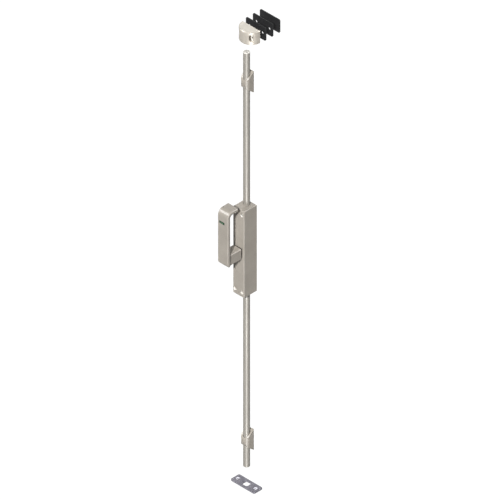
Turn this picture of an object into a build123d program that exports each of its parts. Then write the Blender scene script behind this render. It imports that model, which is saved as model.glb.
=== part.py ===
from build123d import *
import os
from math import acos, cos, pi, radians, sin, tan

# Cremone bolt: a handle turns a pinion, and two racks draw the upper and the lower rod into the case.
# Millimetres. The origin is on the back of the case at the height of the handle's spindle.
# X points right, Z points up, and the door face is the plane y = 0, so the front is towards -Y.

# Whole bolt
rod_diameter = 14.0
rod_axis_depth = 13.0
upper_rod_reach = 466.0
lower_rod_reach = 529.0
rod_end_chamfer = 1.2
running_clearance = 0.05
fitting_clearance = 0.1
cut_overrun = 1.0
pick_distance = 0.05

# Case cover, cast in zinc
case_width = 31.0
case_depth = 35.5
case_top_rise = 102.0
case_bottom_drop = 105.5
case_wall = 2.5
case_end_wall = 4.0
case_edge_radius = 2.0
case_lip = 1.0
screw_side_distance = 5.8
screw_end_distance = 11.5
screw_head_diameter = 6.0
screw_head_height = 2.4
screw_head_recess = 2.6
screw_diameter = 3.0
screw_tip_gap = 0.4
screw_socket_width = 2.5
screw_socket_depth = 1.3
counterbore_diameter = 7.4
screw_hole_clearance = 0.2
column_half_height = 3.5
column_rod_gap = 0.5

# Back plate, steel
plate_thickness = 3.0
plate_gap = 0.15
fixing_spread = 120.0
fixing_hole_diameter = 4.5
fixing_sink_diameter = 8.2
fixing_sink_depth = 1.9

# Pinion, turned and cut from steel
tooth_module = 1.0
pinion_teeth = 14
pressure_angle = 20.0
tooth_addendum_share = 1.0
rack_addendum_share = 0.8
tooth_dedendum_share = 1.25
tooth_backlash = 0.16
tooth_face_width = 8.0
hub_diameter = 12.0
hub_rear_gap = 0.5
hub_front_reach = 3.4

# Bushes, disc spring and circlip that carry and hold the pinion
bush_wall = 1.5
bush_flange_reach = 1.6
bush_flange_thickness = 1.5
boss_wall = 2.0
boss_pinion_gap = 0.5
rod_bush_wall = 1.5
rod_lip_clearance = 0.3
disc_spring_thickness = 0.5
disc_spring_rise = 0.6
disc_spring_reach = 2.6
circlip_thickness = 1.0
circlip_reach = 2.4
circlip_groove_depth = 0.5
circlip_groove_play = 0.05
circlip_opening = 4.0

# Spindle, square steel bar, and the pin that holds the pinion on it
spindle_width = 7.0
spindle_handle_depth = 18.0
spindle_socket_gap = 0.3
hub_pin_diameter = 2.5
hub_pin_setback = 6.0

# Racks, milled from steel bar, and the pins that join them to the rods
turn_teeth = 7
spare_teeth = 3
rack_wall_gap = 0.5
rack_tail = 1.0
rack_head_half_width = 5.6
rack_head_bottom = 46.0
rack_head_height = 16.0
rack_shoulder_height = 8.0
rod_slot_lead = 2.0
rod_slot_spare = 2.0
rack_pin_diameter = 4.0
rack_pin_inset = 0.3

# Handle, cast in zinc
grip_width = 28.8
grip_thickness = 7.4
grip_front_distance = 78.9
arm_top = 117.0
arm_back_distance = 50.4
bend_radius = 14.0
grip_foot_radius = 6.4
grip_edge_radius = 2.2
post_width = 22.8
post_height = 25.6
post_edge_radius = 2.4
grub_screw_diameter = 5.0
grub_screw_recess = 1.0
grub_socket_width = 2.5
grub_socket_depth = 2.5

# Black collar between the post and the case
collar_thickness = 3.3
collar_setback = 1.2
collar_case_gap = 0.3
collar_edge_radius = 1.8

# Green indicator plate let into the grip
indicator_length = 14.0
indicator_height = 5.5
indicator_thickness = 1.0
indicator_proud = 0.3
indicator_corner_radius = 0.8
indicator_rise = 89.0
indicator_shift = 2.2

# Rod guides, a solid casting bored for the rod
upper_guide_setback = 72.8
lower_guide_setback = 63.5
guide_width = 20.6
guide_depth = 22.6
guide_front_radius = 8.0
guide_back_radius = 5.0
guide_rod_clearance = 0.4
guide_back_half_height = 27.3
guide_nose_half_height = 8.8
guide_nose_radius = 17.0
guide_heel_radius = 2.5
guide_hole_half_spacing = 16.5
guide_hole_diameter = 4.5
guide_sink_diameter = 7.6
guide_sink_depth = 1.8

# Top keeper, a plated half-round casting
keeper_radius = 24.4
keeper_rod_gap = 24.8
keeper_height = 29.2
keeper_edge_chamfer = 0.8
keeper_rod_clearance = 0.5
keeper_roof = 6.0
keeper_hole_spread = 36.0
keeper_hole_diameter = 5.2
keeper_hole_rise = 15.7
keeper_pocket_width = 9.6
keeper_pocket_height = 17.0
keeper_pocket_floor = 13.4

# Packers, black polymer plates that lift the keeper off the frame
packer_width = 54.6
packer_height = 31.0
packer_thickness = 2.4
packer_corner_radius = 3.0
packer_hole_diameter = 6.0
front_packer_distance = 12.2
packer_step = 19.2

# Floor strike, zinc-plated steel
strike_length = 66.0
strike_width = 24.2
strike_thickness = 3.5
strike_corner_radius = 3.0
strike_rod_gap = 42.6
strike_rod_clearance = 0.4
strike_slot_corner_radius = 4.0
strike_hole_end_distance = 8.0
strike_hole_diameter = 5.0
strike_sink_diameter = 8.4
strike_sink_depth = 1.7

# Places that several pieces share
rod_radius = rod_diameter / 2
case_half_width = case_width / 2
case_height = case_top_rise + case_bottom_drop
case_middle = (case_top_rise - case_bottom_drop) / 2
case_ends = {1: case_top_rise, -1: case_bottom_drop}
inner_half_width = case_half_width - case_wall
inner_front = case_depth - case_wall
screw_x = case_half_width - screw_side_distance
screw_places = [(x * screw_x, z * (end - screw_end_distance)) for x in (-1, 1) for z, end in case_ends.items()]
pitch_radius = tooth_module * pinion_teeth / 2
tooth_pitch = pi * tooth_module
tooth_front = rod_axis_depth + tooth_face_width / 2
tooth_back = rod_axis_depth - tooth_face_width / 2
hub_radius = hub_diameter / 2
hub_front = case_depth + hub_front_reach
hub_back = plate_thickness + hub_rear_gap
boss_front = tooth_back - boss_pinion_gap
bush_bore_radius = hub_radius + running_clearance
bush_radius = bush_bore_radius + bush_wall
spring_front = inner_front - bush_flange_thickness
circlip_front = spring_front - disc_spring_thickness - disc_spring_rise
pin_depth = circlip_front - circlip_thickness - hub_pin_setback
post_back = case_depth + collar_case_gap + collar_thickness
grip_back_distance = grip_front_distance - grip_thickness
strike_hole_offset = strike_length / 2 - strike_hole_end_distance
keeper_bottom = upper_rod_reach + keeper_rod_gap
keeper_hole_height = keeper_bottom + keeper_hole_rise
guide_places = {"upper": upper_rod_reach - upper_guide_setback, "lower": lower_guide_setback - lower_rod_reach}


def along_x(outline, half_width):
    """The (y, z) outline as a solid that reaches half_width to each side of x = 0."""
    return extrude(Plane.YZ * outline, amount=half_width, both=True)


def along_y(outline, back, front):
    """The (x, z) outline as a solid from back to front, both as distances in front of the door."""
    return extrude(Plane.XZ.offset(back) * outline, amount=front - back, dir=(0, -1, 0))


def along_z(outline, bottom, top):
    """The (x, y) outline as a solid from bottom to top."""
    return extrude(Plane.XY.offset(bottom) * outline, amount=top - bottom, dir=(0, 0, 1))


def turned_y(points):
    """A solid turned about the Y axis from (radius, distance in front of the door) points."""
    outline = Polygon(*[(radius, -distance) for radius, distance in points], align=None)
    return revolve(outline, axis=Axis.Y)


def turned_z(points):
    """A solid turned about the Z axis from (radius, z) points."""
    return revolve(Plane.XZ * Polygon(*points, align=None), axis=Axis.Z)


def ring(outer, inner):
    return Circle(outer) - Circle(inner)


def countersunk_y(radius, sink_radius, sink_depth, face):
    """Cutter for a hole along Y, countersunk into the face at that distance in front of the door."""
    return turned_y([
        (0, -cut_overrun), (radius, -cut_overrun), (radius, face - sink_depth),
        (sink_radius, face), (sink_radius, face + cut_overrun), (0, face + cut_overrun),
    ])


def edges_beside(body, axis, places):
    """The edges of the body parallel to the axis that pass through one of the (u, v) places."""
    found = []
    for edge in body.edges().filter_by(axis):
        middle = edge.center()
        u, v = (middle.Y, middle.Z) if axis == Axis.X else (middle.X, middle.Z)
        if any(abs(u - a) < pick_distance and abs(v - b) < pick_distance for a, b in places):
            found.append(edge)
    return found


def half_turn(body):
    """The body turned half a turn about the pinion's axis: the upper rod's parts become the lower rod's."""
    return Rot(0, 180, 0) * body


# Case

def make_case_cover():
    """Open-backed casting with four screw columns, a bush seat and a way out for each rod."""
    middle = Pos(0, case_middle)
    shell = along_y(middle * Rectangle(case_width, case_height), 0, case_depth)
    rounded = shell.edges().filter_by(Axis.X) + shell.edges().filter_by(Axis.Y)
    rounded += shell.edges().filter_by(Axis.Z).group_by(Axis.Y)[0]
    shell = fillet(rounded, case_edge_radius)
    inside = middle * Rectangle(2 * inner_half_width, case_height - 2 * case_end_wall)
    shell -= along_y(inside, -cut_overrun, inner_front)

    column_inner = rod_radius + column_rod_gap
    column_width = inner_half_width - column_inner
    column_height = screw_end_distance + column_half_height - case_end_wall
    column = Rectangle(column_width, column_height)
    for x in (-1, 1):
        for z, end in case_ends.items():
            place = Pos(x * (column_inner + column_width / 2), z * (end - case_end_wall - column_height / 2))
            shell += along_y(place * column, plate_thickness, inner_front)
    head_seat = case_depth - screw_head_recess - screw_head_height
    for x, z in screw_places:
        shell -= Pos(x, 0, z) * turned_y([
            (0, 0), (screw_diameter / 2 + screw_hole_clearance, 0),
            (screw_diameter / 2 + screw_hole_clearance, head_seat), (counterbore_diameter / 2, head_seat),
            (counterbore_diameter / 2, case_depth + cut_overrun), (0, case_depth + cut_overrun),
        ])

    shell -= along_y(Circle(bush_radius), inner_front - cut_overrun, case_depth + cut_overrun)
    return shell - rod_way(case_top_rise) - half_turn(rod_way(case_bottom_drop))


def rod_way(end):
    """Cutter for the rod's way out of the case and the seat of its bush, at that distance up."""
    way_out = Pos(0, -rod_axis_depth) * Circle(rod_radius + rod_lip_clearance)
    bush_seat = Pos(0, -rod_axis_depth) * Circle(rod_radius + running_clearance + rod_bush_wall)
    cutter = along_z(way_out, end - case_end_wall - cut_overrun, end + cut_overrun)
    return cutter + along_z(bush_seat, end - case_end_wall - cut_overrun, end - case_lip)


def make_cover_screws():
    """Four socket-head screws from the front of the cover into the back plate."""
    seat = case_depth - screw_head_recess - screw_head_height
    top = seat + screw_head_height
    screw = turned_y([
        (0, screw_tip_gap), (screw_diameter / 2, screw_tip_gap), (screw_diameter / 2, seat),
        (screw_head_diameter / 2, seat), (screw_head_diameter / 2, top), (0, top),
    ])
    socket = RegularPolygon(screw_socket_width / 2, 6, major_radius=False)
    screw -= along_y(socket, top - screw_socket_depth, top + cut_overrun)
    return Compound(children=[Pos(x, 0, z) * screw for x, z in screw_places])


def make_back_plate():
    """Flat plate with a boss for the rear bush, tapped for the cover and countersunk for the door."""
    outline = Rectangle(2 * (inner_half_width - plate_gap), case_height - 2 * (case_end_wall + plate_gap))
    plate = along_y(Pos(0, case_middle) * outline, 0, plate_thickness)
    plate += along_y(ring(bush_radius + boss_wall, bush_radius), plate_thickness, boss_front)
    for x, z in screw_places:
        hole = along_y(Circle(screw_diameter / 2 + running_clearance), -cut_overrun, case_depth)
        plate -= Pos(x, 0, z) * hole
    for end in (-1, 1):
        plate -= Pos(0, 0, end * fixing_spread / 2) * countersunk_y(
            fixing_hole_diameter / 2, fixing_sink_diameter / 2, fixing_sink_depth, plate_thickness)
    return plate


def make_spindle_front_bush():
    """Flanged bush in the front wall of the cover."""
    bush = along_y(ring(bush_radius, bush_bore_radius), inner_front, case_depth)
    flange = ring(bush_radius + bush_flange_reach, bush_bore_radius)
    return bush + along_y(flange, spring_front, inner_front)


def make_spindle_rear_bush():
    return along_y(ring(bush_radius, bush_bore_radius), plate_thickness, boss_front)


def make_rod_bush(end):
    """Ring pressed into the end wall of the case at that distance up, behind the wall's lip."""
    bore = rod_radius + running_clearance
    section = Pos(0, -rod_axis_depth) * ring(bore + rod_bush_wall, bore)
    return along_z(section, end - case_end_wall, end - case_lip)


# Pinion, its spindle and what holds them

def tooth_half_angle(radius):
    """Half the angle that a pinion tooth fills at a radius on or outside the base circle."""
    base = pitch_radius * cos(radians(pressure_angle))
    at_radius = acos(min(base / radius, 1))
    at_pitch = radians(pressure_angle)
    half_thickness = (tooth_pitch / 2 - tooth_backlash / 2) / 2
    return half_thickness / pitch_radius + (tan(at_pitch) - at_pitch) - (tan(at_radius) - at_radius)


def polar(radius, angle):
    return (radius * cos(angle), radius * sin(angle))


def pinion_outline():
    """Involute teeth, each flank two chords of its involute above a radial foot."""
    root = pitch_radius - tooth_dedendum_share * tooth_module
    tip = pitch_radius + tooth_addendum_share * tooth_module
    base = pitch_radius * cos(radians(pressure_angle))
    middle = (base + tip) / 2
    step = 2 * pi / pinion_teeth
    edges = []
    for tooth in range(pinion_teeth):
        centre = tooth * step
        sides = {}
        for side in (-1, 1):
            foot = polar(root, centre + side * tooth_half_angle(base))
            start = polar(base, centre + side * tooth_half_angle(base))
            through = polar(middle, centre + side * tooth_half_angle(middle))
            end = polar(tip, centre + side * tooth_half_angle(tip))
            edges += [Line(foot, start), Line(start, through), Line(through, end)]
            sides[side] = (foot, end)
        edges.append(Line(sides[-1][1], sides[1][1]))
        next_foot = polar(root, centre + step - tooth_half_angle(base))
        edges.append(Line(sides[1][0], next_foot))
    return make_face(edges)


def square_way(clearance, back, front):
    width = spindle_width + 2 * clearance
    return along_y(Rectangle(width, width), back, front)


def make_pinion():
    """Pinion with a long front hub through the case and a short rear hub, on a square spindle."""
    gear = along_y(pinion_outline(), tooth_back, tooth_front)
    gear += along_y(Circle(hub_radius), hub_back, tooth_back)
    gear += along_y(Circle(hub_radius), tooth_front, hub_front)
    groove = ring(hub_radius + cut_overrun, hub_radius - circlip_groove_depth)
    gear -= along_y(groove, circlip_front - circlip_thickness - circlip_groove_play,
                    circlip_front + circlip_groove_play)
    gear -= square_way(running_clearance, hub_back - cut_overrun, hub_front + cut_overrun)
    return gear - hub_pin_way(running_clearance)


def hub_pin_way(clearance):
    """The cross pin's own space, along X through hub and spindle."""
    pin = Plane.YZ * Pos(-pin_depth, 0) * Circle(hub_pin_diameter / 2 + clearance)
    return extrude(pin, amount=hub_radius + clearance - running_clearance, both=True)


def make_hub_pin():
    half_length = hub_radius - circlip_groove_depth
    pin = Plane.YZ * Pos(-pin_depth, 0) * Circle(hub_pin_diameter / 2)
    return extrude(pin, amount=half_length, both=True)


def make_spindle():
    """Square bar from the back of the pinion into the handle's post."""
    bar = square_way(0, hub_back, post_back + spindle_handle_depth)
    bar = chamfer(bar.faces().sort_by(Axis.Y)[0].edges(), cut_overrun / 2)
    return bar - hub_pin_way(running_clearance)


def make_disc_spring():
    """Conical spring ring between the front bush and the circlip."""
    inner = hub_radius + fitting_clearance
    outer = hub_radius + disc_spring_reach
    return turned_y([
        (inner, circlip_front), (outer, circlip_front + disc_spring_rise),
        (outer, spring_front), (inner, circlip_front + disc_spring_thickness),
    ])


def make_hub_circlip():
    """Open ring that snaps into the groove of the front hub."""
    section = ring(hub_radius + circlip_reach, hub_radius - circlip_groove_depth + running_clearance)
    gap = Pos(0, -hub_radius - circlip_reach) * Rectangle(circlip_opening, 2 * hub_radius)
    return along_y(section - gap, circlip_front - circlip_thickness, circlip_front)


# Rods and racks

def make_rod(reach):
    """Round rod up from its slotted end, with a chamfered far end."""
    start = rack_head_bottom - rod_slot_lead
    rod = turned_z([
        (0, start), (rod_radius, start), (rod_radius, reach - rod_end_chamfer),
        (rod_radius - rod_end_chamfer, reach), (0, reach),
    ])
    rod = Pos(0, -rod_axis_depth, 0) * rod
    slot_top = rack_head_bottom + rack_head_height + rod_slot_spare
    slot = Rectangle(rod_diameter + cut_overrun, tooth_face_width + 2 * running_clearance)
    rod -= along_z(Pos(0, -rod_axis_depth) * slot, start - cut_overrun, slot_top)
    pin_place = Pos(0, rack_head_bottom + rack_head_height / 2)
    hole = Circle(rack_pin_diameter / 2 + running_clearance)
    return rod - along_y(pin_place * hole, 0, case_depth)


def rack_outline():
    """Right-hand rack: a bar with teeth towards the pinion and a head that fills the rod's slot."""
    tip = pitch_radius - rack_addendum_share * tooth_module
    root = pitch_radius + tooth_dedendum_share * tooth_module
    half_tooth = (tooth_pitch / 2 - tooth_backlash / 2) / 2
    lean = tan(radians(pressure_angle))
    half_tip = half_tooth - (pitch_radius - tip) * lean
    half_root = half_tooth + (root - pitch_radius) * lean
    outer = inner_half_width - rack_wall_gap
    head_top = rack_head_bottom + rack_head_height
    bottom = -spare_teeth * tooth_pitch - rack_tail
    points = [
        (outer, bottom), (outer, rack_head_bottom), (rack_head_half_width, rack_head_bottom + rack_shoulder_height),
        (rack_head_half_width, head_top), (-rack_head_half_width, head_top),
        (-rack_head_half_width, rack_head_bottom), (root, rack_head_bottom),
    ]
    for tooth in reversed(range(-spare_teeth, turn_teeth + spare_teeth)):
        middle = (tooth + 0.5) * tooth_pitch
        points += [(root, middle + half_root), (tip, middle + half_tip)]
        points += [(tip, middle - half_tip), (root, middle - half_root)]
    return Polygon(*points, (root, bottom), align=None)


def make_rack():
    rack = along_y(rack_outline(), tooth_back, tooth_front)
    pin_place = Pos(0, rack_head_bottom + rack_head_height / 2)
    hole = Circle(rack_pin_diameter / 2 + running_clearance)
    return rack - along_y(pin_place * hole, 0, case_depth)


def make_rack_pin():
    """Dowel along Y through the rod's cheeks and the rack's head."""
    place = Pos(0, rack_head_bottom + rack_head_height / 2)
    half_length = rod_radius - rack_pin_inset
    return along_y(place * Circle(rack_pin_diameter / 2),
                   rod_axis_depth - half_length, rod_axis_depth + half_length)


# Handle

def make_handle():
    """Grip and arm in one bent strip, with a post that takes the spindle."""
    foot = -post_height / 2
    outline = Polygon(
        (-arm_back_distance, arm_top), (-grip_front_distance, arm_top), (-grip_front_distance, foot),
        (-grip_back_distance, foot), (-grip_back_distance, arm_top - grip_thickness),
        (-arm_back_distance, arm_top - grip_thickness), align=None,
    )
    strip = along_x(outline, grip_width / 2)
    outer_bend = edges_beside(strip, Axis.X, [(-grip_front_distance, arm_top)])
    strip = fillet(outer_bend, bend_radius)
    inner_bend = edges_beside(strip, Axis.X, [(-grip_back_distance, arm_top - grip_thickness)])
    strip = fillet(inner_bend, bend_radius - grip_thickness)
    front_foot = edges_beside(strip, Axis.X, [(-grip_front_distance, foot)])
    strip = fillet(front_foot, grip_foot_radius)
    sides = strip.faces().sort_by(Axis.X)
    strip = fillet(sides[0].edges() + sides[-1].edges(), grip_edge_radius)

    post = along_y(Rectangle(post_width, post_height), post_back, grip_back_distance + grip_edge_radius)
    post = fillet(post.edges().filter_by(Axis.Y), post_edge_radius)
    handle = strip + post
    handle -= square_way(running_clearance, post_back - cut_overrun,
                         post_back + spindle_handle_depth + spindle_socket_gap)
    handle -= grub_screw_way(running_clearance, -post_height)

    pocket = RectangleRounded(indicator_length + 2 * fitting_clearance,
                              indicator_height + 2 * fitting_clearance, indicator_corner_radius)
    floor = grip_front_distance + indicator_proud - indicator_thickness
    return handle - along_y(Pos(-indicator_shift, indicator_rise) * pocket, floor, grip_front_distance + cut_overrun)


def grub_screw_way(clearance, bottom):
    """The grub screw's space, up to the flat of the spindle."""
    section = Pos(0, -post_back - spindle_handle_depth / 2) * Circle(grub_screw_diameter / 2 + clearance)
    return along_z(section, bottom, -spindle_width / 2)


def make_handle_grub_screw():
    bottom = -post_height / 2 + grub_screw_recess
    socket = RegularPolygon(grub_socket_width / 2, 6, major_radius=False)
    socket = Pos(0, -post_back - spindle_handle_depth / 2) * socket
    screw = grub_screw_way(0, bottom)
    return screw - along_z(socket, bottom - cut_overrun, bottom + grub_socket_depth)


def make_post_collar():
    """Square collar that closes the gap between the post and the case."""
    outline = RectangleRounded(post_width - 2 * collar_setback, post_height - 2 * collar_setback,
                               collar_edge_radius)
    return along_y(outline - Circle(hub_radius + fitting_clearance), post_back - collar_thickness, post_back)


def make_indicator():
    """Plate that fills the pocket in the grip and stands a little proud."""
    plate = RectangleRounded(indicator_length, indicator_height, indicator_corner_radius)
    front = grip_front_distance + indicator_proud
    return along_y(Pos(-indicator_shift, indicator_rise) * plate, front - indicator_thickness, front)


# Rod guides

def make_guide_hood(rise):
    """Block bored for the rod, cut on the slant above and below, with a rounded nose."""
    plan = Polygon(
        (-guide_width / 2, 0), (guide_width / 2, 0), (guide_width / 2, -guide_depth),
        (-guide_width / 2, -guide_depth), align=None,
    )
    by_depth = plan.vertices().group_by(Axis.Y)
    plan = fillet(by_depth[0], guide_front_radius)
    plan = fillet(plan.vertices().group_by(Axis.Y)[-1], guide_back_radius)
    profile = Polygon(
        (0, -guide_back_half_height), (0, guide_back_half_height),
        (-guide_depth, guide_nose_half_height), (-guide_depth, -guide_nose_half_height), align=None,
    )
    by_depth = profile.vertices().group_by(Axis.X)
    profile = fillet(by_depth[0], guide_nose_radius)
    profile = fillet(profile.vertices().group_by(Axis.X)[-1], guide_heel_radius)
    tall = guide_back_half_height + cut_overrun
    hood = along_z(plan, -tall, tall) & along_x(profile, guide_width)

    bore_radius = rod_radius + guide_rod_clearance
    axis_place = Pos(0, -rod_axis_depth)
    hood -= along_z(axis_place * Circle(bore_radius), -tall, tall)
    bore_back = rod_axis_depth - bore_radius
    hole = turned_y([
        (0, -cut_overrun), (guide_hole_diameter / 2, -cut_overrun),
        (guide_hole_diameter / 2, bore_back - guide_sink_depth), (guide_sink_diameter / 2, bore_back),
        (guide_sink_diameter / 2, rod_axis_depth), (0, rod_axis_depth),
    ])
    for end in (-1, 1):
        hood -= Pos(0, 0, end * guide_hole_half_spacing) * hole
    return Pos(0, 0, rise) * hood


# Keeper, packers and strike

def make_top_keeper():
    """Half-round block with a blind pocket for the rod and two screw pockets in its front."""
    plan = Circle(keeper_radius) - Pos(0, keeper_radius) * Rectangle(2 * keeper_radius, 2 * keeper_radius)
    top = keeper_bottom + keeper_height
    block = along_z(plan, keeper_bottom, top)
    ends = block.faces().filter_by(Axis.Z)
    block = chamfer(ends.edges().filter_by(GeomType.CIRCLE), keeper_edge_chamfer)
    bore = Pos(0, -rod_axis_depth) * Circle(rod_radius + keeper_rod_clearance)
    block -= along_z(bore, keeper_bottom - cut_overrun, top - keeper_roof)
    pocket = SlotOverall(keeper_pocket_height, keeper_pocket_width, rotation=90)
    for side in (-1, 1):
        place = Pos(side * keeper_hole_spread / 2, keeper_hole_height)
        block -= along_y(place * pocket, keeper_pocket_floor, keeper_radius)
        block -= along_y(place * Circle(keeper_hole_diameter / 2), -cut_overrun, keeper_radius)
    return block


def make_packer(order, holed):
    """Packer number order, counted from the keeper."""
    outline = RectangleRounded(packer_width, packer_height, packer_corner_radius)
    if holed:
        for side in (-1, 1):
            outline -= Pos(side * keeper_hole_spread / 2, 0) * Circle(packer_hole_diameter / 2)
    behind = front_packer_distance + order * packer_step
    return along_y(Pos(0, keeper_hole_height) * outline, -behind - packer_thickness, -behind)


def make_floor_strike():
    """Plate with a square way for the rod and two countersunk screw holes."""
    side = rod_diameter + 2 * strike_rod_clearance
    outline = RectangleRounded(strike_length, strike_width, strike_corner_radius)
    outline -= RectangleRounded(side, side, strike_slot_corner_radius)
    top = -lower_rod_reach - strike_rod_gap
    plate = along_z(Pos(0, -rod_axis_depth) * outline, top - strike_thickness, top)
    hole = turned_z([
        (0, top - strike_thickness - cut_overrun), (strike_hole_diameter / 2, top - strike_thickness - cut_overrun),
        (strike_hole_diameter / 2, top - strike_sink_depth), (strike_sink_diameter / 2, top),
        (strike_sink_diameter / 2, top + cut_overrun), (0, top + cut_overrun),
    ])
    for end in (-1, 1):
        plate -= Pos(end * strike_hole_offset, -rod_axis_depth, 0) * hole
    return plate


pieces = {
    "case_cover": make_case_cover(),
    "cover_screws": make_cover_screws(),
    "back_plate": make_back_plate(),
    "spindle_front_bush": make_spindle_front_bush(),
    "spindle_rear_bush": make_spindle_rear_bush(),
    "upper_rod_bush": make_rod_bush(case_top_rise),
    "lower_rod_bush": half_turn(make_rod_bush(case_bottom_drop)),
    "pinion": make_pinion(),
    "hub_pin": make_hub_pin(),
    "hub_circlip": make_hub_circlip(),
    "disc_spring": make_disc_spring(),
    "spindle": make_spindle(),
    "handle": make_handle(),
    "handle_grub_screw": make_handle_grub_screw(),
    "post_collar": make_post_collar(),
    "indicator_plate": make_indicator(),
    "upper_rod": make_rod(upper_rod_reach),
    "upper_rack": make_rack(),
    "upper_rack_pin": make_rack_pin(),
    "lower_rod": half_turn(make_rod(lower_rod_reach)),
    "lower_rack": half_turn(make_rack()),
    "lower_rack_pin": half_turn(make_rack_pin()),
    "top_keeper": make_top_keeper(),
    "keeper_packer_front": make_packer(0, True),
    "keeper_packer_middle": make_packer(1, True),
    "keeper_packer_rear": make_packer(2, False),
    "floor_strike": make_floor_strike(),
}
for end, rise in guide_places.items():
    pieces[end + "_guide_hood"] = make_guide_hood(rise)

os.makedirs("parts", exist_ok=True)
for name, piece in pieces.items():
    export_step(piece, "parts/" + name + ".step")
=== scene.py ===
from math import cos, radians, sin

import bmesh
import bpy
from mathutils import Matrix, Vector


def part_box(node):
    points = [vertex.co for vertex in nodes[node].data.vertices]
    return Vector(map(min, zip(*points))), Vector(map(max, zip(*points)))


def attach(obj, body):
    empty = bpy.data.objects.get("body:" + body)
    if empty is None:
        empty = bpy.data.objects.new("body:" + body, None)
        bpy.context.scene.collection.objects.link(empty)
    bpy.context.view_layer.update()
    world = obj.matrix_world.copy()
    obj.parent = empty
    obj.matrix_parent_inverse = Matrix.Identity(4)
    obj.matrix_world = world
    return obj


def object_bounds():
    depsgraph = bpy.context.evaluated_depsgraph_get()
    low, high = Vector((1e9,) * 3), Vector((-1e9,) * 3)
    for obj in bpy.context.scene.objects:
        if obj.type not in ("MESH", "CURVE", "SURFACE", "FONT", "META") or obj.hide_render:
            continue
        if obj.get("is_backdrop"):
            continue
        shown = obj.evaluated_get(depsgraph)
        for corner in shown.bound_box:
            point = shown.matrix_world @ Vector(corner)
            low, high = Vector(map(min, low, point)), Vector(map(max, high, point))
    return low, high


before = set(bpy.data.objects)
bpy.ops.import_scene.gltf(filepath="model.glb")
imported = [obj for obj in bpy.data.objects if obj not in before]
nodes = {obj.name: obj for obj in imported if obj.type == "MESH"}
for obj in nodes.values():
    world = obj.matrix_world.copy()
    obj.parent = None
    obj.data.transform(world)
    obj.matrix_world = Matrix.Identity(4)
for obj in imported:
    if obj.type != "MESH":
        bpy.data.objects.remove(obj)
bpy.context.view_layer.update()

mm = 0.001


# Case cover
# A deep rectangular box, open at the back, pressure-cast in zinc and screwed over the mechanism.
# Silver-grey polyester powder coat: matt and warm, with a fine orange peel and a few paler flecks.
# The four counterbores are cut after painting, so they show bare zinc; their near-white is a painted
# highlight.

paint_grey = "ACA59B"
paint_shade = "A39C92"
paint_fleck = "BDB7AE"
paint_values = {"IOR": 1.5, "Specular IOR Level": 0.18}
paint_roughness = (0.27, 0.38)
paint_cloud_size = 38 * mm
peel_size = 2.4 * mm
peel_height = 0.02 * mm
peel_detail = 2.0
fleck_size = 1.1 * mm
fleck_detail = 1.0
fleck_ends = (0.52, 0.72)
fleck_share = 0.35
# Near-white painted highlight inside the counterbores, laid over the bare zinc.
counterbore_painted_highlight = "EFECE6"
counterbore_radius = 3.7 * mm
counterbore_fade = 0.1 * mm
screw_head_radius = 3.0 * mm
noise_ends = (0.35, 0.65)
noise_detail = 3.0
whole_range = (0, 1)


def linear_colour(code):
    """The sRGB hex colour as linear red, green, blue and alpha."""
    parts = [int(code[at:at + 2], 16) / 255 for at in (0, 2, 4)]
    return [p / 12.92 if p <= 0.04045 else ((p + 0.055) / 1.055) ** 2.4 for p in parts] + [1]


def add_node(owner, kind, inputs=None, **settings):
    """A new node in the owner's tree; inputs holds values, hex colours, or sockets and nodes to link."""
    node = owner.node_tree.nodes.new("ShaderNode" + kind)
    for name, setting in settings.items():
        setattr(node, name, setting)
    for name, value in (inputs or {}).items():
        if isinstance(value, bpy.types.Node):
            value = value.outputs[0]
        if isinstance(value, bpy.types.NodeSocket):
            owner.node_tree.links.new(value, node.inputs[name])
        else:
            node.inputs[name].default_value = linear_colour(value) if isinstance(value, str) else value
    return node


def new_material(name):
    material = bpy.data.materials.new(name)
    material.use_nodes = True
    material.node_tree.nodes.clear()
    return material


def grain(material, place, size, detail=noise_detail, stretch=(1, 1, 1)):
    """Noise from 0 to 1 whose lumps are about size across, drawn out along the axes by stretch."""
    scaled = add_node(material, "Mapping", {"Vector": place, "Scale": [1 / (size * s) for s in stretch]})
    return add_node(material, "TexNoise", {"Vector": scaled, "Scale": 1.0, "Detail": detail})


def two_tones(material, pattern, first, second, ends=noise_ends, share=1.0):
    """The first tone where the pattern is low, turning to the second between its ends, up to the share."""
    factor = add_node(material, "MapRange", {
        "Value": pattern, "From Min": ends[0], "From Max": ends[1], "To Min": 0, "To Max": share})
    return add_node(material, "Mix", {0: factor, 6: first, 7: second}, data_type="RGBA").outputs[2]


def end_in_shader(material, tone, pattern, roughness, values, relief=None, height=0.0, ends=noise_ends):
    """Ends the material with its shader; the roughness follows the pattern, and a relief may be given."""
    inputs = dict(values)
    inputs["Base Color"] = tone
    inputs["Roughness"] = add_node(material, "MapRange", {
        "Value": pattern, "From Min": ends[0], "From Max": ends[1],
        "To Min": roughness[0], "To Max": roughness[1]})
    if relief:
        inputs["Normal"] = add_node(material, "Bump", {"Height": relief, "Distance": height, "Strength": 1.0})
    add_node(material, "OutputMaterial", {"Surface": add_node(material, "BsdfPrincipled", inputs)})
    return material


def from_screw_axis(material, place):
    """How far the place is from the axis of the nearest cover screw."""
    low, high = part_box("cover_screws")
    reach = (high - low) / 2 - Vector((screw_head_radius, 0, screw_head_radius))
    centred = add_node(material, "VectorMath", {0: place, 1: (low + high) / 2}, operation="SUBTRACT")
    folded = add_node(material, "VectorMath", {0: centred}, operation="ABSOLUTE")
    offset = add_node(material, "VectorMath", {0: folded, 1: reach}, operation="SUBTRACT")
    across = add_node(material, "VectorMath", {0: offset, 1: (1, 0, 1)}, operation="MULTIPLY")
    return add_node(material, "VectorMath", {0: across}, operation="LENGTH").outputs["Value"]


def inside_counterbores(material, place):
    """1 inside the four counterbores and 0 elsewhere."""
    return add_node(material, "MapRange", {
        "Value": from_screw_axis(material, place),
        "From Min": counterbore_radius, "From Max": counterbore_radius + counterbore_fade,
        "To Min": 1, "To Max": 0})


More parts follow.
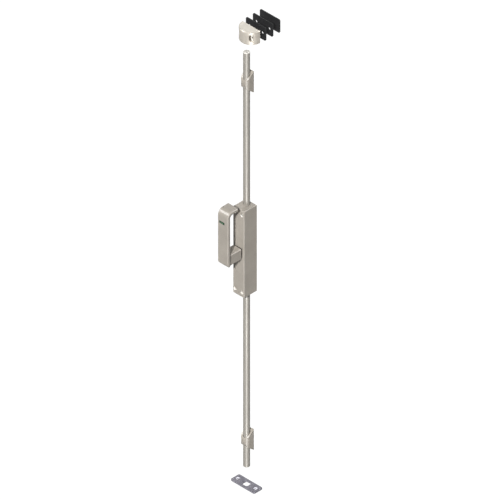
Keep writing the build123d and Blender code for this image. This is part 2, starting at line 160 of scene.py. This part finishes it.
def powder_coat(name, bare_metal_painted_highlight=None):
    """The paint; the optional last argument gives the share of bare metal at each place, which is lightened
    as a painted highlight.
    """
    material = new_material(name)
    place = add_node(material, "TexCoord").outputs["Object"]
    peel = grain(material, place, peel_size, peel_detail)
    fleck = grain(material, place, fleck_size, fleck_detail)
    paint = two_tones(material, grain(material, place, paint_cloud_size), paint_grey, paint_shade)
    paint = two_tones(material, fleck, paint, paint_fleck, fleck_ends, fleck_share)
    if bare_metal_painted_highlight:
        # Bare metal inside the counterbores, lightened as a painted highlight.
        paint = two_tones(material, bare_metal_painted_highlight(material, place), paint, counterbore_painted_highlight, whole_range)
    return end_in_shader(material, paint, peel, paint_roughness, paint_values, peel, peel_height)


def put_on(material, *names):
    """Gives the CAD nodes the material all over."""
    for name in names:
        mesh = nodes[name].data
        mesh.materials.clear()
        mesh.materials.append(material)


put_on(powder_coat("silver_grey_powder_coat_painted_highlight_at_screws", inside_counterbores), "case_cover")


# Back plate, pinion, racks and the small turned parts inside
# Milled and turned steel left bare under a film of oil, hidden by the cover.
# Grey, with faint cutter lines across each face, drawn coarser than a real cutter's so that they show.

steel_grey = "8F8E8C"
steel_dark = "74736F"
steel_values = {"Metallic": 1.0}
steel_roughness = (0.5, 0.66)
cutter_step = 1.2 * mm
cutter_height = 0.02 * mm
cutter_stretch = (12, 1, 1)


def milled_steel():
    material = new_material("milled_steel")
    place = add_node(material, "TexCoord").outputs["Object"]
    lines = grain(material, place, cutter_step, stretch=cutter_stretch)
    tone = two_tones(material, lines, steel_grey, steel_dark)
    return end_in_shader(material, tone, lines, steel_roughness, steel_values, lines, cutter_height)


put_on(milled_steel(), "back_plate", "pinion", "hub_pin", "hub_circlip", "disc_spring", "spindle",
       "upper_rack", "upper_rack_pin", "lower_rack", "lower_rack_pin")


# Bushes
# Sintered bronze rings pressed into the case for the pinion's hubs and for the two rods.
# Brown-gold and slightly open-grained from the pressed powder; the grain is drawn coarser than real.

bronze_light = "A9814F"
bronze_dark = "7F5F39"
bronze_values = {"Metallic": 1.0}
bronze_roughness = (0.54, 0.42)
bronze_grain = 0.6 * mm
bronze_pit_depth = 0.03 * mm
bronze_detail = 4.0


def sintered_bronze():
    material = new_material("sintered_bronze")
    place = add_node(material, "TexCoord").outputs["Object"]
    powder = grain(material, place, bronze_grain, bronze_detail)
    tone = two_tones(material, powder, bronze_dark, bronze_light)
    return end_in_shader(material, tone, powder, bronze_roughness, bronze_values, powder, bronze_pit_depth)


put_on(sintered_bronze(), "spindle_front_bush", "spindle_rear_bush", "upper_rod_bush", "lower_rod_bush")


# Rods
# Round bright-drawn steel bars, satin nickel plated, that slide through the guides into keeper and strike.
# The brush runs along the bar, so the plating holds one long soft highlight; its lines are drawn coarser
# than real. The cut ends show bare steel, lightened further as a painted highlight.

rod_light = "A09B93"
rod_shade = "918D85"
# Bare cut ends with a painted highlight, picked out where the surface faces along the bar.
rod_end_painted_highlight = "D2CFC8"
rod_values = {"Metallic": 0.06, "Specular IOR Level": 0.32}
rod_roughness = (0.39, 0.49)
rod_end_ends = (0.3, 0.6)
rod_cloud_size = 90 * mm
brush_width = 0.7 * mm
brush_stretch = (1, 1, 60)
brush_height = 0.015 * mm


def facing(material, way):
    """How far the surface faces along the object's own X, Y or Z axis, from -1 to 1."""
    normal = add_node(material, "TexCoord").outputs["Normal"]
    return add_node(material, "SeparateXYZ", {0: normal}).outputs[way]


def satin_nickel_bar():
    material = new_material("satin_nickel_bar")
    place = add_node(material, "TexCoord").outputs["Object"]
    brush = grain(material, place, brush_width, stretch=brush_stretch)
    cloud = grain(material, place, rod_cloud_size)
    cut_end = add_node(material, "Math", {0: facing(material, "Z")}, operation="ABSOLUTE")
    tone = two_tones(material, brush, rod_light, rod_shade)
    # Painted highlight on the cut ends.
    tone = two_tones(material, cut_end, tone, rod_end_painted_highlight, rod_end_ends)
    return end_in_shader(material, tone, cloud, rod_roughness, rod_values, brush, brush_height)


put_on(satin_nickel_bar(), "upper_rod", "lower_rod")


# Cover screws
# Four socket-head screws in counterbores at the corners of the cover, bright nickel-plated steel.
# Turned heads: rings round the socket, coarser than real, and nearly white where they face the light.

screw_bright = "EAE8E4"
screw_shade = "D6D3CE"
screw_values = {"Metallic": 1.0}
screw_roughness = (0.3, 0.42)
screw_ring_step = 0.5 * mm
# Painted shade inside each screw's socket.
socket_painted_shade = "5A5855"
socket_radius_ends = (1.9 * mm, 2.0 * mm)
socket_depth_ends = (0.1 * mm, 0.4 * mm)


def bright_nickel_screws():
    """The heads' plating, with the inside of each socket darkened as painted shade."""
    material = new_material("bright_nickel_screws")
    place = add_node(material, "TexCoord").outputs["Object"]
    rings = grain(material, place, screw_ring_step)
    depth = add_node(material, "SeparateXYZ", {0: place}).outputs["Y"]
    below_top = [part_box("cover_screws")[0].y + reach for reach in socket_depth_ends]
    plating = two_tones(material, rings, screw_bright, screw_shade)
    # Painted shade deep in the socket.
    deep = two_tones(material, depth, plating, socket_painted_shade, below_top)
    tone = two_tones(material, from_screw_axis(material, place), deep, plating, socket_radius_ends)
    return end_in_shader(material, tone, rings, screw_roughness, screw_values)


put_on(bright_nickel_screws(), "cover_screws", "handle_grub_screw")


# Handle
# One zinc casting: a flat grip bent over at the top, and a square post that takes the spindle.
# Powder coated with the cover, in the same paint.

silver_paint = powder_coat("silver_grey_powder_coat")
put_on(silver_paint, "handle")


# Post collar
# A black moulded ring, square outside, that closes the gap between the post and the cover.
# Acetal: near black, smooth, with a dull shine; its black also stands as painted shade for the shadow in the
# gap round the post.

# Near black, also serving as painted shade for the gap round the post.
collar_black_and_gap_shade = "080808"
collar_black_worn = "0D0D0D"
collar_roughness = (0.35, 0.48)
collar_grain = 0.9 * mm
collar_grain_height = 0.02 * mm
moulded_values = {"IOR": 1.48, "Specular IOR Level": 0.15}
moulded_detail = 2.0


def moulded_black(name, dark, light, roughness, size, height):
    """A black moulded plastic with the fine grain of its mould."""
    material = new_material(name)
    place = add_node(material, "TexCoord").outputs["Object"]
    texture = grain(material, place, size, moulded_detail)
    tone = two_tones(material, texture, dark, light)
    return end_in_shader(material, tone, texture, roughness, moulded_values, texture, height)


black_acetal_and_gap_shade = moulded_black("black_acetal_and_gap_shade", collar_black_and_gap_shade, collar_black_worn, collar_roughness,
                             collar_grain, collar_grain_height)
put_on(black_acetal_and_gap_shade, "post_collar")


# Indicator plate
# A small aluminium plate let into the grip, anodised dark green, that shows which way the handle turns.
# Its arrow is a plain printed one, laid on as a thin film of pale green ink.

anodised_green = "0A3E1B"
anodised_green_deep = "08220E"
anodised_values = {"Metallic": 0.1}
anodised_roughness = (0.35, 0.48)
anodised_brush_width = 0.4 * mm
anodised_brush_stretch = (20, 1, 1)
ink_green = "5C9462"
ink_roughness = (0.5, 0.6)
ink_patch_size = 0.8 * mm
ink_thin_share = 0.25
ink_thickness = 0.03 * mm
arrow_margin = 3.0 * mm
arrow_shaft_half_height = 0.3 * mm
arrow_head_length = 2.6 * mm
arrow_head_half_height = 1.1 * mm


def green_anodised_aluminium():
    material = new_material("green_anodised_aluminium")
    place = add_node(material, "TexCoord").outputs["Object"]
    brush = grain(material, place, anodised_brush_width, stretch=anodised_brush_stretch)
    tone = two_tones(material, brush, anodised_green, anodised_green_deep)
    return end_in_shader(material, tone, brush, anodised_roughness, anodised_values)


def pale_green_screen_ink():
    material = new_material("pale_green_screen_ink")
    place = add_node(material, "TexCoord").outputs["Object"]
    patch = grain(material, place, ink_patch_size)
    tone = two_tones(material, patch, ink_green, anodised_green, share=ink_thin_share)
    return end_in_shader(material, tone, patch, ink_roughness, {})


def new_object(name, fill, material):
    """A mesh object of the material; fill makes its shape in a bmesh."""
    mesh = bpy.data.meshes.new(name)
    shape = bmesh.new()
    fill(shape)
    bmesh.ops.recalc_face_normals(shape, faces=shape.faces)
    shape.to_mesh(mesh)
    shape.free()
    mesh.materials.append(material)
    made = bpy.data.objects.new(name, mesh)
    bpy.context.scene.collection.objects.link(made)
    return made


def arrow(shape):
    """A plain arrow that points to the right along the plate's face, as a thin slab of ink."""
    low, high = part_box("indicator_plate")
    left, right = low.x + arrow_margin, high.x - arrow_margin
    middle, front = (low.z + high.z) / 2, low.y
    neck = right - arrow_head_length
    outline = [
        (left, -arrow_shaft_half_height), (neck, -arrow_shaft_half_height), (neck, -arrow_head_half_height),
        (right, 0), (neck, arrow_head_half_height), (neck, arrow_shaft_half_height),
        (left, arrow_shaft_half_height),
    ]
    face = shape.faces.new([shape.verts.new((x, front, middle + z)) for x, z in outline])
    raised = bmesh.ops.extrude_face_region(shape, geom=[face])
    fresh = [part for part in raised["geom"] if isinstance(part, bmesh.types.BMVert)]
    bmesh.ops.translate(shape, verts=fresh, vec=(0, -ink_thickness, 0))


put_on(green_anodised_aluminium(), "indicator_plate")
indicator_arrow = new_object("indicator_arrow", arrow, pale_green_screen_ink())
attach(indicator_arrow, "handle")


# Rod guides
# A cast block bored for each rod, cut on the slant above and below, screwed to the door behind the rod.
# Powder coated like the handle.

put_on(silver_paint, "upper_guide_hood", "lower_guide_hood")


# Top keeper
# A half-round zinc block that the upper rod shoots into, with two pockets for its screws.
# Bright nickel plated: warm white metal with a soft polish. The top faces carry a painted highlight; in the
# pockets the floors carry a painted highlight and the sides painted shade.

keeper_warm = "C6BFB4"
keeper_warm_deep = "B8B1A6"
keeper_values = {"Metallic": 0.1, "Specular IOR Level": 0.15}
keeper_roughness = (0.33, 0.46)
keeper_cloud_size = 16 * mm
keeper_polish_step = 0.9 * mm
keeper_polish_stretch = (1, 1, 14)
# Painted highlight on the faces that look upward.
keeper_top_painted_highlight = "DAD4C9"
keeper_top_ends = (0.8, 0.95)
# Painted shade on the pocket sides and painted highlight on the pocket floors.
pocket_side_painted_shade = "7A736B"
pocket_floor_painted_highlight = "F0EDE6"
keeper_skin_radius = 23.2 * mm
keeper_skin_fade = 0.4 * mm


def inside_skin(material, place):
    """1 nearer to the keeper's upright axis than its round skin, and 0 on the skin."""
    flat = add_node(material, "VectorMath", {0: place, 1: (1, 1, 0)}, operation="MULTIPLY")
    return add_node(material, "MapRange", {
        "Value": add_node(material, "VectorMath", {0: flat}, operation="LENGTH").outputs["Value"],
        "From Min": keeper_skin_radius - keeper_skin_fade, "From Max": keeper_skin_radius,
        "To Min": 1, "To Max": 0})


def polished_nickel():
    material = new_material("polished_nickel")
    place = add_node(material, "TexCoord").outputs["Object"]
    polish = grain(material, place, keeper_polish_step, stretch=keeper_polish_stretch)
    tone = two_tones(material, grain(material, place, keeper_cloud_size), keeper_warm, keeper_warm_deep)
    # Pocket sides get painted shade, pocket floors a painted highlight.
    for way, pocket_tone in (("X", pocket_side_painted_shade), ("Y", pocket_floor_painted_highlight)):
        sideways = add_node(material, "Math", {0: facing(material, way)}, operation="ABSOLUTE")
        inside = inside_skin(material, place)
        wall = add_node(material, "Math", {0: sideways, 1: inside}, operation="MULTIPLY")
        tone = two_tones(material, wall, tone, pocket_tone, whole_range)
    # Painted highlight on the top faces.
    tone = two_tones(material, facing(material, "Z"), tone, keeper_top_painted_highlight, keeper_top_ends)
    return end_in_shader(material, tone, polish, keeper_roughness, keeper_values)


put_on(polished_nickel(), "top_keeper")


# Keeper packers
# Three flat plates that lift the keeper off a deeper frame, moulded in black polymer.
# Spark-eroded on the face: dull, very dark, with a fine even grain, drawn coarser than real.

packer_black = "161617"
packer_black_light = "1F1F21"
packer_roughness = (0.55, 0.68)
packer_grain = 1.0 * mm
packer_grain_height = 0.04 * mm

packer_polymer = moulded_black("black_moulded_polymer", packer_black, packer_black_light, packer_roughness,
                               packer_grain, packer_grain_height)
put_on(packer_polymer, "keeper_packer_front", "keeper_packer_middle", "keeper_packer_rear")


# Floor strike
# A punched steel plate that the lower rod drops through, with two countersunk holes.
# Zinc plated: cool grey with the faint crystal patches of the bath; the countersinks are cut to bare steel,
# and their upward slants carry a painted highlight.

zinc_cool = "8E8C95"
zinc_patch = "828089"
# Painted highlight on the countersinks' upward-facing slants.
sink_painted_highlight = "CFCFD6"
zinc_values = {"Metallic": 0.05, "Specular IOR Level": 0.05}
zinc_roughness = (0.46, 0.58)
zinc_crystal = 7 * mm
zinc_crystal_ends = (0.2, 0.8)
sink_slant_start = (0.2, 0.4)
sink_slant_end = (0.85, 0.95)


def zinc_plated_steel():
    material = new_material("zinc_plated_steel")
    place = add_node(material, "TexCoord").outputs["Object"]
    scaled = add_node(material, "Mapping", {"Vector": place, "Scale": [1 / zinc_crystal] * 3})
    crystal = add_node(material, "TexVoronoi", {"Vector": scaled, "Scale": 1.0}).outputs["Color"]
    patches = add_node(material, "RGBToBW", {"Color": crystal})
    upward = facing(material, "Z")
    plating = two_tones(material, patches, zinc_cool, zinc_patch, zinc_crystal_ends)
    # Painted highlight where the surface slants upward, as in the countersinks.
    cut = two_tones(material, upward, plating, sink_painted_highlight, sink_slant_start)
    tone = two_tones(material, upward, cut, plating, sink_slant_end)
    return end_in_shader(material, tone, patches, zinc_roughness, zinc_values, ends=zinc_crystal_ends)


put_on(zinc_plated_steel(), "floor_strike")


# Floor
# A plain white studio floor, well below the object, so that its shadow falls on it soft and far off.

floor_drop = 1300 * mm
floor_half_width = 30.0
floor_grey = "484848"
floor_lift = 0.92
floor_roughness = 0.9
white = "FFFFFF"


def floor_square(shape):
    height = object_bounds()[0].z - floor_drop
    shape.faces.new([
        shape.verts.new((x * floor_half_width, y * floor_half_width, height))
        for x, y in ((-1, -1), (1, -1), (1, 1), (-1, 1))])


def seen_plainly(owner):
    """1 for rays from the camera and from gloss and glass, 0 for the light that falls on the object."""
    path = add_node(owner, "LightPath").outputs
    seen = add_node(owner, "Math", {0: path["Is Camera Ray"], 1: path["Is Glossy Ray"]}, operation="MAXIMUM")
    return add_node(owner, "Math", {0: seen, 1: path["Is Transmission Ray"]}, operation="MAXIMUM")


def studio_floor_paint():
    """Matt grey, lifted to the background's white for the camera and in reflections."""
    material = new_material("studio_floor_paint")
    lift = add_node(material, "Math", {0: seen_plainly(material), 1: floor_lift}, operation="MULTIPLY")
    paint = add_node(material, "BsdfPrincipled", {
        "Base Color": floor_grey, "Roughness": floor_roughness, "Emission Color": white,
        "Emission Strength": lift})
    add_node(material, "OutputMaterial", {"Surface": paint})
    return material


studio_floor = new_object("studio_floor", floor_square, studio_floor_paint())
studio_floor.visible_shadow = False
studio_floor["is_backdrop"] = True


# Light
# A key lamp high to the front right, a weaker one behind on the left, one overhead and an even pale room.
# Cards add only gloss: one low in front for the round bars, three high up for the rounded edges.

# For each lamp, the direction that it shines from, its strength, and its spread in degrees.
lamps = {
    "key_lamp": ((0.42, -0.69, 0.59), 4.1, 4),
    "rear_lamp": ((-0.62, 0.78, -0.05), 1.9, 20),
    "top_panel": ((0.05, 0.1, 1), 0.15, 60),
}
# For each card, the direction that it shines from and its strength.
cards = {
    "low_card": ((1, -1, -1), 4.8),
    "left_card": ((-1, -1, 1), 6.4),
    "right_card": ((1, 1, 1), 6.4),
    "back_card": ((-1, 1, 1), 0.3),
}
card_spread = 24
room_strength = 0.03


def add_lamp(name, towards, strength, spread, gloss_only):
    """A distant lamp that shines from the given direction; its spread sets how soft its shadows are."""
    light = bpy.data.lights.new(name, "SUN")
    light.energy = strength
    light.angle = radians(spread)
    holder = bpy.data.objects.new(name, light)
    holder.rotation_mode = "QUATERNION"
    holder.rotation_quaternion = Vector(towards).to_track_quat("Z", "Y")
    holder.visible_diffuse = not gloss_only
    bpy.context.scene.collection.objects.link(holder)


def pale_room():
    """Even light from all round; the camera, gloss and glass see plain white."""
    world = bpy.data.worlds.new("pale_room")
    world.use_nodes = True
    world.node_tree.nodes.clear()
    light = add_node(world, "Background", {"Color": white, "Strength": room_strength})
    backdrop = add_node(world, "Background", {"Color": white, "Strength": 1.0})
    blend = add_node(world, "MixShader", {0: seen_plainly(world), 1: light, 2: backdrop})
    add_node(world, "OutputWorld", {"Surface": blend})
    return world


for name, (towards, strength, spread) in lamps.items():
    add_lamp(name, towards, strength, spread, gloss_only=False)
for name, (towards, strength) in cards.items():
    add_lamp(name, towards, strength, card_spread, gloss_only=True)
bpy.context.scene.world = pale_room()
bpy.context.scene.view_settings.view_transform = "Standard"


# Camera
# Far off with a long lens, so the object is seen nearly without perspective, from above its right front.

camera_lens = 1700
camera_sensor = 36
camera_clip_end = 100
photo_span = 979.8 * mm
camera_turn = radians(45)
camera_rise = radians(35.264)
camera_target = Vector((-1.76, -1.76, -14.3)) * mm

camera_back = Vector((
    sin(camera_turn) * cos(camera_rise), -cos(camera_turn) * cos(camera_rise), sin(camera_rise)))
camera_data = bpy.data.cameras.new("camera")
camera_data.lens = camera_lens
camera_data.sensor_width = camera_sensor
camera_data.clip_end = camera_clip_end
camera = bpy.data.objects.new("camera", camera_data)
camera.rotation_mode = "QUATERNION"
camera.location = camera_target + camera_back * (photo_span * camera_lens / camera_sensor)
camera.rotation_quaternion = (-camera_back).to_track_quat("-Z", "Y")
bpy.context.scene.collection.objects.link(camera)
bpy.context.scene.camera = camera
